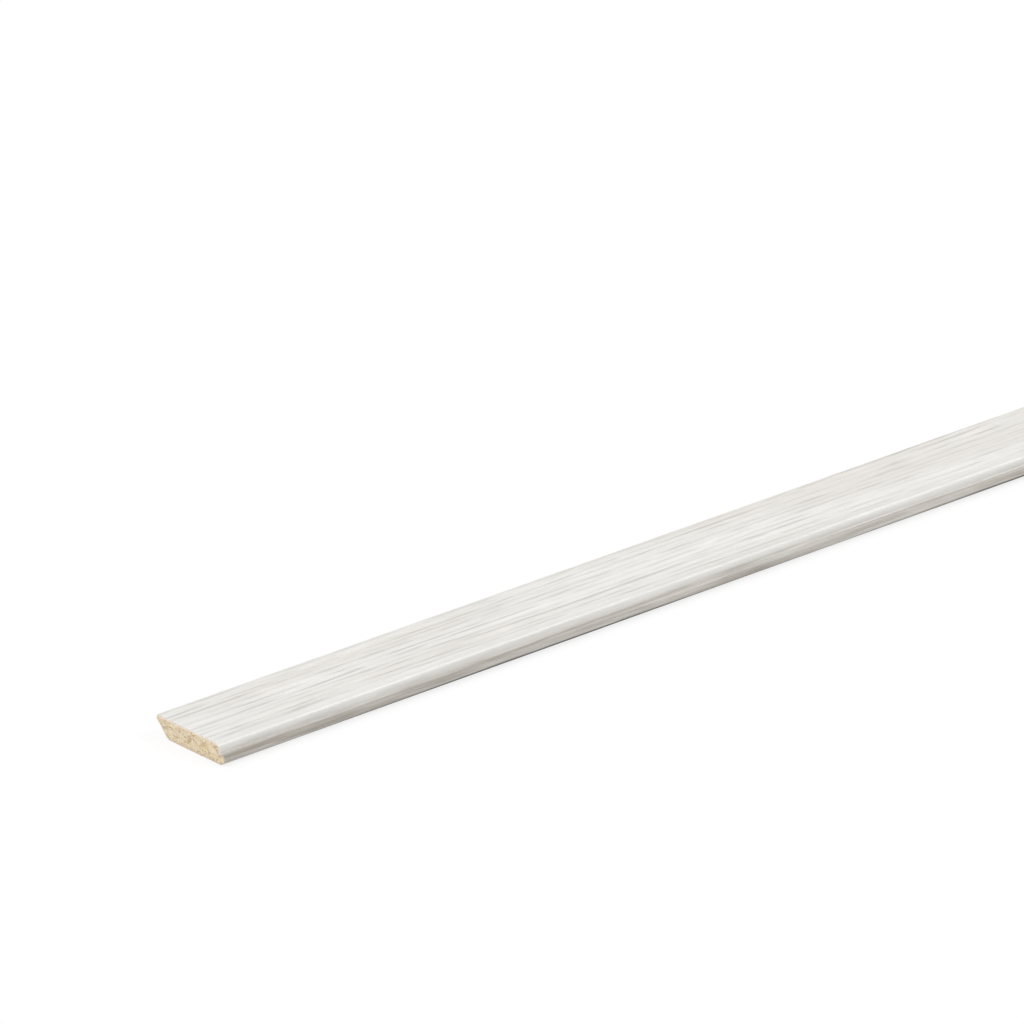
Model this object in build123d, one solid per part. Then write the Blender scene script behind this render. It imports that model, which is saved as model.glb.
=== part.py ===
from build123d import *
import math
import os

# Self-adhesive skirting strip: a moulded chipboard core wrapped in wood-decor foil, with adhesive tape on its back.
# It lies on its back, as it is stored. X runs along the strip, Y across it from the nose to the floor edge, and
# Z up from the level that it lies on. The origin is under the middle of the strip. Sizes are in millimetres.

# Overall sizes, over the foil
STRIP_LENGTH = 2400.0
STRIP_WIDTH = 24.0
STRIP_THICKNESS = 5.0

# Foil wrap
FOIL_THICKNESS = 0.25
FOIL_RETURN = 8.0  # from the front of the lip to the free edge of the foil on the back

# Nose edge: a rounded face that stands back on a projecting lip. Outside radii are those milled on the core
NOSE_RADIUS = 1.75
LIP_PROJECTION = 1.75
LIP_HEIGHT = 2.4  # at the front of the lip, over the foil
LEDGE_RISE = 0.2  # from the front of the lip up to the quirk
QUIRK_RADIUS = 0.3  # in the inside corner, on the foil
LIP_EDGE_RADIUS = 0.25
LIP_HEEL_RADIUS = 1.55

# Floor edge: an upright land below the face, then an undercut that runs in to the back
LAND_HEIGHT = 1.0
ARRIS_RADIUS = 0.2
UNDERCUT_ANGLE = 45.0  # degrees, between the undercut and the back

# Tape and its release liner, between the turned-in foil and the undercut
TAPE_MARGIN = 0.15  # bare back on each side of the tape
TAPE_PROUD = 0.05  # how far the tape stands out past the turned-in foil, so that it meets the wall first
LINER_THICKNESS = 0.1

# Levels
TAPE_THICKNESS = FOIL_THICKNESS + TAPE_PROUD
BACK = LINER_THICKNESS + TAPE_THICKNESS
FOIL_UNDERSIDE = BACK - FOIL_THICKNESS
FOIL_FACE = FOIL_UNDERSIDE + STRIP_THICKNESS
CORE_FACE = FOIL_FACE - FOIL_THICKNESS
LEDGE_FRONT = FOIL_UNDERSIDE + LIP_HEIGHT - FOIL_THICKNESS
LEDGE_BACK = LEDGE_FRONT + LEDGE_RISE
LAND_FOOT = FOIL_FACE - LAND_HEIGHT

# Places across the strip
FOIL_FRONT = -STRIP_WIDTH / 2
LIP_FRONT = FOIL_FRONT + FOIL_THICKNESS
NOSE_WALL = LIP_FRONT + LIP_PROJECTION
LAND_FRONT = STRIP_WIDTH / 2 - FOIL_THICKNESS
BACK_EDGE = LAND_FRONT - (LAND_FOOT - BACK) / math.tan(math.radians(UNDERCUT_ANGLE))
FOIL_END = FOIL_FRONT + FOIL_RETURN
TAPE_WIDTH = BACK_EDGE - FOIL_END - 2 * TAPE_MARGIN
TAPE_MIDDLE = (BACK_EDGE + FOIL_END) / 2


def core_section():
    """The moulded chipboard: heel, back, undercut, land, face, nose, quirk and lip, in that order."""
    quirk_radius = QUIRK_RADIUS + FOIL_THICKNESS
    nose_radius = min(NOSE_RADIUS, CORE_FACE - LEDGE_BACK - quirk_radius)
    heel_radius = min(LIP_HEEL_RADIUS, LEDGE_FRONT - BACK - LIP_EDGE_RADIUS)
    corners = [
        ((LIP_FRONT, BACK), heel_radius),
        ((BACK_EDGE, BACK), 0),
        ((LAND_FRONT, LAND_FOOT), 0),
        ((LAND_FRONT, CORE_FACE), ARRIS_RADIUS),
        ((NOSE_WALL, CORE_FACE), nose_radius),
        ((NOSE_WALL, LEDGE_BACK), quirk_radius),
        ((LIP_FRONT, LEDGE_FRONT), LIP_EDGE_RADIUS),
    ]
    points = [point for point, _ in corners]
    radii = [radius for _, radius in corners]
    return make_face(FilletPolyline(*points, radius=radii, close=True))


def foil_section():
    """A skin of even thickness round the core, open on the back from its turned-in edge to the undercut."""
    core = core_section()
    wrapped = offset(core, amount=FOIL_THICKNESS, kind=Kind.ARC)
    opening = Pos(FOIL_END, BACK) * Rectangle(STRIP_WIDTH, STRIP_THICKNESS, align=(Align.MIN, Align.MAX))
    return wrapped - core - opening


def layer_section(bottom, thickness):
    """A flat strip as wide as the tape, in the middle of the bare back."""
    strip = Rectangle(TAPE_WIDTH, thickness, align=(Align.CENTER, Align.MIN))
    return Pos(TAPE_MIDDLE, bottom) * strip


def lengthwise(section):
    """The solid that a section gives over the whole length of the strip."""
    return extrude(Plane.YZ * section, amount=STRIP_LENGTH / 2, both=True)


sections = {
    "chipboard_core": core_section(),
    "decor_foil": foil_section(),
    "adhesive_tape": layer_section(LINER_THICKNESS, TAPE_THICKNESS),
    "release_liner": layer_section(0, LINER_THICKNESS),
}

os.makedirs("parts", exist_ok=True)
for name, section in sections.items():
    piece = lengthwise(section)
    piece.label = name
    export_step(piece, f"parts/{name}.step")
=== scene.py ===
"""Looks of a self-adhesive skirting strip: foil-wrapped chipboard with adhesive tape on its back.

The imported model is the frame. Each of its four pieces gets a finer mesh of the same shape and a procedural
finish. The strip lies on its back on a pale floor, under soft studio light, seen as in the photograph.
X runs along the strip, Y across it from the lip to the floor edge, and Z up. Sizes are in metres.
"""

from __future__ import annotations

import logging
import math
from collections.abc import Callable
from dataclasses import dataclass
from dataclasses import field
from enum import Enum

import bmesh
import bpy
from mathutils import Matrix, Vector

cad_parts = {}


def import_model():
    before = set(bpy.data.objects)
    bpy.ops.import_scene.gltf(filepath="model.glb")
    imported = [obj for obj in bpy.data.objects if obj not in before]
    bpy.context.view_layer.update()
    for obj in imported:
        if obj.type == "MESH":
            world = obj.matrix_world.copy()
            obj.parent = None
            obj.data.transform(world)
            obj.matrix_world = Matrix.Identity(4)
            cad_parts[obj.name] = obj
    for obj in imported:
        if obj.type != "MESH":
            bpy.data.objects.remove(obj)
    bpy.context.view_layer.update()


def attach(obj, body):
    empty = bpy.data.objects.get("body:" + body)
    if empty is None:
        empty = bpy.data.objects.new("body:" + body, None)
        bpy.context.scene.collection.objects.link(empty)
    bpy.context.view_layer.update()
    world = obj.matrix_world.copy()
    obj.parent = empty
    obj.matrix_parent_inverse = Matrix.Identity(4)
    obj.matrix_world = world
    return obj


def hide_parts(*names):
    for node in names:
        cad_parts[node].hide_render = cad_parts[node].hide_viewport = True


MM = 0.001
BODY = "root"
BAKE_MAP = "OFBake"
WRAP = "wrap"
LINER_WAVES = 0.06 * MM
LINER_WAVE_LENGTH = 40.0 * MM

# How much of a normal points along the strip on a cut end, and straight down on the back
END_FACING = 0.7
BACK_FACING = 0.9

Point = tuple[float, float]
Colour = tuple[float, float, float]
Socket = bpy.types.NodeSocket
Source = Socket | float | tuple
Inputs = dict[str | int, Source]
Test = Callable[[Vector, Vector], bool]

WHITE: Colour = (1.0, 1.0, 1.0)

log = logging.getLogger("skirting_strip")


class End(Enum):
    """The strip's two cut ends, by the way that they face along X."""

    NEAR = -1
    FAR = 1


@dataclass(frozen=True)
class Moulding:
    """The strip's section and length. Radii are those milled on the core."""

    length: float = 2400.0 * MM
    width: float = 24.0 * MM
    thickness: float = 5.0 * MM
    foil: float = 0.25 * MM
    foil_return: float = 8.0 * MM
    nose_radius: float = 1.75 * MM
    lip_projection: float = 1.75 * MM
    lip_height: float = 2.4 * MM
    ledge_rise: float = 0.2 * MM
    quirk_radius: float = 0.55 * MM
    lip_edge_radius: float = 0.25 * MM
    heel_radius: float = 1.55 * MM
    land_height: float = 1.0 * MM
    arris_radius: float = 0.2 * MM
    foot_radius: float = 0.08 * MM
    tape_margin: float = 0.15 * MM
    tape: float = 0.3 * MM
    liner: float = 0.1 * MM

    @property
    def near(self) -> float:
        """Where the near cut end is, along X."""
        return -self.length / 2

    @property
    def back(self) -> float:
        """Level of the bare back of the core."""
        return self.liner + self.tape

    @property
    def face(self) -> float:
        """Level of the top of the core."""
        return self.back - 2 * self.foil + self.thickness

    @property
    def ledge_front(self) -> float:
        """Level of the ledge on the core, at the front of the lip."""
        return self.back - 2 * self.foil + self.lip_height

    @property
    def ledge_back(self) -> float:
        """Level of the ledge on the core, in the quirk."""
        return self.ledge_front + self.ledge_rise

    @property
    def lip_front(self) -> float:
        """Front of the lip on the core, along Y."""
        return self.foil - self.width / 2

    @property
    def nose_wall(self) -> float:
        """Upright wall of the core below the nose, along Y."""
        return self.lip_front + self.lip_projection

    @property
    def land_front(self) -> float:
        """Upright land of the core at the floor edge, along Y."""
        return self.width / 2 - self.foil

    @property
    def land_foot(self) -> float:
        """Level of the bottom of the land on the core."""
        return self.back - self.foil + self.thickness - self.land_height

    @property
    def back_edge(self) -> float:
        """Where the undercut, at 45 degrees, meets the back, along Y."""
        return self.land_front - (self.land_foot - self.back)

    @property
    def foil_end(self) -> float:
        """Free edge of the foil on the back, along Y."""
        return self.foil_return - self.width / 2

    @property
    def tape_edges(self) -> Point:
        """The two long edges of the tape, along Y."""
        return self.foil_end + self.tape_margin, self.back_edge - self.tape_margin


def deselect_everything() -> None:
    """Leaves edit mode if it is on, with nothing selected."""
    if bpy.context.object and bpy.context.object.mode != "OBJECT":
        bpy.ops.object.mode_set(mode="OBJECT")
    bpy.ops.object.select_all(action="DESELECT")


class Workpiece:
    """One mesh on the bench: a plate across the strip that is shaped with Blender's edit tools."""

    TOUCH = 1e-6
    CUT_TOUCH = 1e-7
    SMOOTH_ANGLE = math.radians(30.0)
    FACE_WEIGHT = 100

    def __init__(self, name: str, low: Point, high: Point, station: float) -> None:
        """Adds an upright plate across the strip and opens it for editing.

        Args:
            name: The piece's name.
            low: Lowest corner of the plate, as Y and Z.
            high: Highest corner of the plate, as Y and Z.
            station: Where along the strip the plate stands.
        """
        deselect_everything()
        middle = (station, (low[0] + high[0]) / 2, (low[1] + high[1]) / 2)
        bpy.ops.mesh.primitive_plane_add(size=1.0, location=middle, rotation=(0.0, -math.pi / 2, 0.0))
        self.obj: bpy.types.Object = bpy.context.object
        self.obj.name = name
        self.obj.data.name = name
        self.obj.scale = (high[1] - low[1], high[0] - low[0], 1.0)
        bpy.ops.object.transform_apply(location=True, rotation=True, scale=True)
        bpy.ops.object.mode_set(mode="EDIT")

    def _pick(self, kind: str, chosen: Callable[[bmesh.types.BMesh], list]) -> int:
        """Selects some of the mesh's elements and nothing else.

        Args:
            kind: VERT, EDGE or FACE.
            chosen: Gives the elements to select.

        Returns:
            How many were selected.
        """
        bpy.ops.mesh.select_mode(type=kind)
        bpy.ops.mesh.select_all(action="DESELECT")
        mesh = bmesh.from_edit_mesh(self.obj.data)
        found = chosen(mesh)
        for element in found:
            element.select_set(True)
        bmesh.update_edit_mesh(self.obj.data, loop_triangles=False, destructive=False)
        return len(found)

    def pick_all(self) -> None:
        """Selects the whole mesh."""
        bpy.ops.mesh.select_mode(type="FACE")
        bpy.ops.mesh.select_all(action="SELECT")

    def pick_faces(self, test: Test) -> int:
        """Selects the faces whose middle and normal pass a test, and says how many."""
        return self._pick("FACE", lambda m: [f for f in m.faces if test(f.calc_center_median(), f.normal)])

    def pick_edges(self, test: Test) -> int:
        """Selects the edges whose two ends pass a test, and says how many."""
        return self._pick("EDGE", lambda m: [e for e in m.edges if test(e.verts[0].co, e.verts[1].co)])

    def pick_corner(self, place: Point) -> int:
        """Selects the corners at one place in the section, and says how many."""
        spot = Vector(place)
        return self._pick("VERT", lambda m: [v for v in m.verts if (v.co.yz - spot).length < self.TOUCH])

    def cut(self, through: tuple, facing: tuple, clear: bool = False, fill: bool = False) -> None:
        """Cuts what is selected along a plane.

        Args:
            through: A point on the plane.
            facing: The plane's normal.
            clear: Whether what lies on the normal's side is removed.
            fill: Whether the cut is closed with a face.
        """
        bpy.ops.mesh.bisect(
            plane_co=through,
            plane_no=facing,
            clear_outer=clear,
            use_fill=fill,
            threshold=self.CUT_TOUCH,
        )

    def round_corner(self, place: Point, radius: float, steps: int) -> None:
        """Rounds a corner of the section; at a square corner the offset is the radius.

        Args:
            place: The corner, as Y and Z.
            radius: How far the rounding runs along each side.
            steps: Flats in the rounding.
        """
        if self.pick_corner(place):
            bpy.ops.mesh.bevel(offset=radius, segments=steps, profile=0.5, affect="VERTICES")

    def pull(self, distance: float) -> None:
        """Extrudes what is selected along the strip."""
        bpy.ops.mesh.extrude_region_move(TRANSFORM_OT_translate={"value": (distance, 0.0, 0.0)})

    def cut_across(self, stations: list[float]) -> None:
        """Cuts the whole mesh square across.

        Args:
            stations: Where along the strip the cuts are.
        """
        for station in stations:
            self.pick_all()
            self.cut((station, 0.0, 0.0), (1.0, 0.0, 0.0))

    def face_outwards(self) -> None:
        """Turns every face of a closed mesh outwards."""
        self.pick_all()
        bpy.ops.mesh.normals_make_consistent(inside=False)

    def mark_wrap(self, start: Point) -> float:
        """Writes how far each corner of the section is from a start, measured round the outline.

        Args:
            start: Where the outline starts, as Y and Z.

        Returns:
            The outline's length.
        """
        bpy.ops.object.mode_set(mode="OBJECT")
        mesh = self.obj.data
        ways: dict[int, list[int]] = {v.index: [] for v in mesh.vertices}
        for edge in mesh.edges:
            a, b = edge.vertices
            ways[a].append(b)
            ways[b].append(a)
        spot = Vector(start)
        first = min(ways, key=lambda i: (mesh.vertices[i].co.yz - spot).length)
        at = first
        far = 0.0
        found = {first: far}
        while onward := [i for i in ways[at] if i not in found]:
            far += (mesh.vertices[onward[0]].co - mesh.vertices[at].co).length
            at = onward[0]
            found[at] = far
        if first in ways[at]:
            far += (mesh.vertices[at].co - mesh.vertices[first].co).length
        marks = mesh.attributes.new(WRAP, "FLOAT", "POINT")
        for index, value in found.items():
            marks.data[index].value = value
        bpy.ops.object.mode_set(mode="EDIT")
        return far

    def finish(self) -> bpy.types.Object:
        """Leaves edit mode and smooths what isn't a sharp edge.

        Returns:
            The finished object.
        """
        bpy.ops.object.mode_set(mode="OBJECT")
        bpy.ops.object.shade_smooth_by_angle(angle=self.SMOOTH_ANGLE)
        self.modify("WEIGHTED_NORMAL", keep_sharp=True, weight=self.FACE_WEIGHT)
        return self.obj

    def displace(
        self,
        corners: list[int],
        texture: bpy.types.Texture,
        direction: str,
        strength: float,
    ) -> None:
        """Moves some corners along an axis, by a texture that is then thrown away.

        Args:
            corners: The corners' numbers.
            texture: How far each place moves, from 0 to 1.
            direction: X, Y or Z.
            strength: How far 1 is.
        """
        group = self.obj.vertex_groups.new(name="moved")
        group.add(corners, 1.0, "REPLACE")
        self.modify(
            "DISPLACE",
            texture=texture,
            texture_coords="LOCAL",
            direction=direction,
            mid_level=0.0,
            strength=strength,
            vertex_group="moved",
        )
        self.obj.vertex_groups.clear()
        bpy.data.textures.remove(texture)

    def modify(self, kind: str, **settings: object) -> None:
        """Adds a modifier and applies it.

        Args:
            kind: The modifier's type.
            settings: Its settings.
        """
        editing = self.obj.mode == "EDIT"
        if editing:
            bpy.ops.object.mode_set(mode="OBJECT")
        bpy.ops.object.modifier_add(type=kind)
        modifier = self.obj.modifiers[-1]
        for name, value in settings.items():
            setattr(modifier, name, value)
        bpy.ops.object.modifier_apply(modifier=modifier.name)
        if editing:
            bpy.ops.object.mode_set(mode="EDIT")


@dataclass(frozen=True)
class BakeSheet:
    """Lays a long piece out on its bake map: lengthwise rows above each other, and the two ends below."""

    moulding: Moulding
    outline: float
    rows: int = 5
    ends_share: float = 0.11
    hidden_share: float = 0.08
    hidden_fill: float = 0.9
    rim_share: float = 0.03
    rim_fill: float = 0.7
    margin: float = 0.004
    same: float = 1e-7
    shallowest: float = 1e-9

    def stations(self) -> list[float]:
        """Where the mesh is cut across, so that each row ends on an edge."""
        step = self.moulding.length / self.rows
        return [self.moulding.near + step * i for i in range(1, self.rows)]

    def lay(self, piece: bpy.types.Object, shows: Test) -> None:
        """Writes the piece's bake map.

        Args:
            piece: A piece whose corners carry their place round the outline.
            shows: Says from a face's middle and normal whether it is laid out large.
        """
        mesh = piece.data
        layer = mesh.uv_layers.new(name=BAKE_MAP)
        marks = mesh.attributes[WRAP].data
        for face in mesh.polygons:
            corners = [(i, mesh.loops[i].vertex_index) for i in face.loop_indices]
            places = [mesh.vertices[v].co for _, v in corners]
            wraps = [marks[v].value for _, v in corners]
            if abs(face.normal.x) > END_FACING:
                spots = [self._end_spot(p, face.normal.x) for p in places]
            else:
                spots = self._row_spots(face.center, shows(face.center, face.normal), places, wraps)
            for (loop, _), spot in zip(corners, spots):
                layer.data[loop].uv = spot
        mesh.uv_layers.active = layer

    def _end_spot(self, place: Vector, facing: float) -> Point:
        """Where a corner of a cut end is on the map.

        Args:
            place: The corner.
            facing: Which way along the strip the end faces.

        Returns:
            Its place on the map.
        """
        scale = (0.5 - 2 * self.margin) / self.moulding.width
        start = self.margin if facing < 0 else 0.5 + self.margin
        return start + (place.y + self.moulding.width / 2) * scale, self.margin + place.z * scale

    def _row_spots(
        self,
        middle: Vector,
        large: bool,
        places: list[Vector],
        wraps: list[float],
    ) -> list[Point]:
        """Where the corners of a lengthwise face are on the map.

        Args:
            middle: The face's middle.
            large: Whether it is laid out large.
            places: Its corners.
            wraps: Where each corner is round the outline.

        Returns:
            Each corner's place on the map.
        """
        m = self.moulding
        step = m.length / self.rows
        row = min(max(int((middle.x - m.near) / step), 0), self.rows - 1)
        start = m.near + step * row
        across = [(p.x - start) / step * (1 - 2 * self.margin) + self.margin for p in places]
        height = (1.0 - self.ends_share) / self.rows
        bottom = self.ends_share + height * row
        shown = height * (1 - self.hidden_share - 2 * self.rim_share)
        hidden = height * self.hidden_share * self.hidden_fill
        rim = height * self.rim_share * self.rim_fill
        if max(wraps) - min(wraps) > self.outline / 2:
            wraps = [w + self.outline if w < self.outline / 2 else w for w in wraps]
        if max(wraps) - min(wraps) < self.same:
            depths = [abs(p.z - places[0].z) + abs(p.y - places[0].y) for p in places]
            deepest = max(*depths, self.shallowest)
            rims = 2 if wraps[0] > self.outline / 2 else 1
            lift = height * (1 - self.rim_share * rims)
            ups = [d / deepest * rim + lift for d in depths]
        elif large:
            ups = [w / self.outline * (shown - self.margin) for w in wraps]
        else:
            ups = [w / self.outline * hidden + shown for w in wraps]
        return [(u, bottom + v) for u, v in zip(across, ups)]


class Graph:
    """The nodes of one material, world or group, wired socket by socket."""

    def __init__(self, tree: bpy.types.NodeTree) -> None:
        """Starts on a cleared tree."""
        self.tree = tree
        tree.nodes.clear()

    def add(self, kind: str, inputs: Inputs | None = None, **settings: object) -> bpy.types.Node:
        """Adds a node.

        Args:
            kind: The node's type.
            inputs: What goes into it, by the socket's name or number.
            settings: Its settings.

        Returns:
            The node.
        """
        node = self.tree.nodes.new(kind)
        for name, value in settings.items():
            setattr(node, name, value)
        for key, value in (inputs or {}).items():
            self.feed(node.inputs[key], value)
        return node

    def feed(self, socket: Socket, value: Source) -> None:
        """Links a socket to an output, or sets it to a plain value.

        Args:
            socket: The socket.
            value: An output or a plain value.
        """
        if isinstance(value, Socket):
            self.tree.links.new(value, socket)
        else:
            socket.default_value = value

    def maths(self, operation: str, a: Source, b: Source = 0.0) -> Socket:
        """One sum of two values, by its name in Blender."""
        return self.add("ShaderNodeMath", {0: a, 1: b}, operation=operation).outputs[0]

    def times(self, a: Source, b: Source) -> Socket:
        """One value times another."""
        return self.maths("MULTIPLY", a, b)

    def plus(self, a: Source, b: Source, share: float = 1.0) -> Socket:
        """One value and a share of another."""
        return self.maths("ADD", a, b if share == 1.0 else self.times(b, share))

    def less(self, a: Source, b: Source, share: float = 1.0) -> Socket:
        """One value less a share of another."""
        return self.maths("SUBTRACT", a, b if share == 1.0 else self.times(b, share))

    def apart(self, a: Source, b: Source) -> Socket:
        """How far two values are apart."""
        return self.maths("ABSOLUTE", self.less(a, b))

    def join(self, x: Source, y: Source, z: Source) -> Socket:
        """A vector from three values."""
        return self.add("ShaderNodeCombineXYZ", {0: x, 1: y, 2: z}).outputs[0]

    def split(self, vector: Source) -> tuple[Socket, ...]:
        """The three values of a vector."""
        return tuple(self.add("ShaderNodeSeparateXYZ", {0: vector}).outputs)

    def place(self) -> tuple[Socket, ...]:
        """X, Y and Z on the piece, in metres."""
        return self.split(self.add("ShaderNodeTexCoord").outputs["Object"])

    def span(
        self,
        value: Source,
        low: float,
        high: float,
        to_low: float = 0.0,
        to_high: float = 1.0,
        soft: bool = True,
    ) -> Socket:
        """Maps a range of values on another, held at its ends.

        Args:
            value: The value to map.
            low: Where the range starts.
            high: Where the range ends.
            to_low: What the start becomes.
            to_high: What the end becomes.
            soft: Whether the change eases in and out.

        Returns:
            The mapped value.
        """
        easing = "SMOOTHSTEP" if soft else "LINEAR"
        inputs = dict(enumerate((value, low, high, to_low, to_high)))
        return self.add("ShaderNodeMapRange", inputs, interpolation_type=easing, clamp=True).outputs[0]

    def noise(self, vector: Source, detail: Source = 2.0, roughness: float = 0.5) -> Socket:
        """Soft noise, from 0 to 1, with cells about as wide as one unit of the vector."""
        inputs = {"Vector": vector, "Scale": 1.0, "Detail": detail, "Roughness": roughness}
        return self.add("ShaderNodeTexNoise", inputs, noise_dimensions="3D").outputs[0]

    def clouds(self, place: tuple, size: float, detail: float, roughness: float = 0.5) -> Socket:
        """Soft noise, from 0 to 1, with cells as wide as a size, as long as they are wide."""
        spot = self.join(*(self.times(value, 1 / size) for value in place))
        return self.noise(spot, detail, roughness)

    def cells(self, vector: Source, feature: str = "F1") -> bpy.types.Node:
        """A cell pattern with cells about as wide as one unit of the vector."""
        inputs = {"Vector": vector, "Scale": 1.0}
        return self.add("ShaderNodeTexVoronoi", inputs, voronoi_dimensions="3D", feature=feature)

    def mix(self, share: Source, a: Source, b: Source, blend: str = "MIX") -> Socket:
        """A mix of two colours.

        Args:
            share: How much of the second colour, from 0 to 1.
            a: The first colour.
            b: The second colour.
            blend: How the second colour acts on the first.

        Returns:
            The mixed colour.
        """
        first, second = ((*c, 1.0) if isinstance(c, tuple) else c for c in (a, b))
        inputs = {0: share, 6: first, 7: second}
        return self.add("ShaderNodeMix", inputs, data_type="RGBA", blend_type=blend).outputs[2]

    def tinted(self, colour: Source, tint: Source) -> Socket:
        """A colour multiplied by a tint."""
        return self.mix(1.0, colour, tint, "MULTIPLY")

    def ramp(self, value: Source, stops: list[tuple[float, Colour]]) -> Socket:
        """A colour picked from a row of colours.

        Args:
            value: Where in the row, from 0 to 1.
            stops: Each colour and where it is.

        Returns:
            The colour.
        """
        node = self.add("ShaderNodeValToRGB", {0: value})
        elements = node.color_ramp.elements
        while len(elements) < len(stops):
            elements.new(1.0)
        for element, (where, colour) in zip(elements, stops):
            element.position = where
            element.color = (*colour, 1.0)
        return node.outputs[0]

    def scale(self, colour: Source, by: Source) -> Socket:
        """A colour made lighter or darker by a factor."""
        return self.add("ShaderNodeVectorMath", {0: colour, "Scale": by}, operation="SCALE").outputs[0]

    def bump(self, height: Source, distance: float, strength: float) -> Socket:
        """A normal that follows a height; the distance is how high 1 is, in metres."""
        inputs = {"Strength": strength, "Distance": distance, "Height": height}
        return self.add("ShaderNodeBump", inputs).outputs[0]

    def group(self, effect: bpy.types.NodeTree, **values: Source) -> bpy.types.Node:
        """Places a shared effect with its own values, named with _ for a space."""
        inputs = {name.replace("_", " "): value for name, value in values.items()}
        return self.add("ShaderNodeGroup", inputs, node_tree=effect)

    def principled(self, colour: Source, rough: Source, normal: Source, **sockets: float) -> None:
        """Ends a material with its shader.

        Args:
            colour: Base colour.
            rough: Roughness.
            normal: Bumped normal.
            sockets: Plain values for other sockets, named with _ for a space.
        """
        inputs = {"Base Color": colour, "Roughness": rough, "Normal": normal}
        plain = {name.replace("_", " "): value for name, value in sockets.items()}
        shader = self.add("ShaderNodeBsdfPrincipled", inputs | plain)
        self.add("ShaderNodeOutputMaterial", {0: shader.outputs[0]})


@dataclass(frozen=True)
class Streaks:
    """One layer of streaks along the strip. Its fields are the inputs of that effect."""

    length: float
    width: float
    seed: float
    detail: float = 2.0
    waver: float = 1.0 * MM


@dataclass(frozen=True)
class Specks:
    """One scatter of specks. Its fields are the inputs of that effect."""

    spacing: float
    size: float
    share: float
    stretch: float
    seed: float


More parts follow.
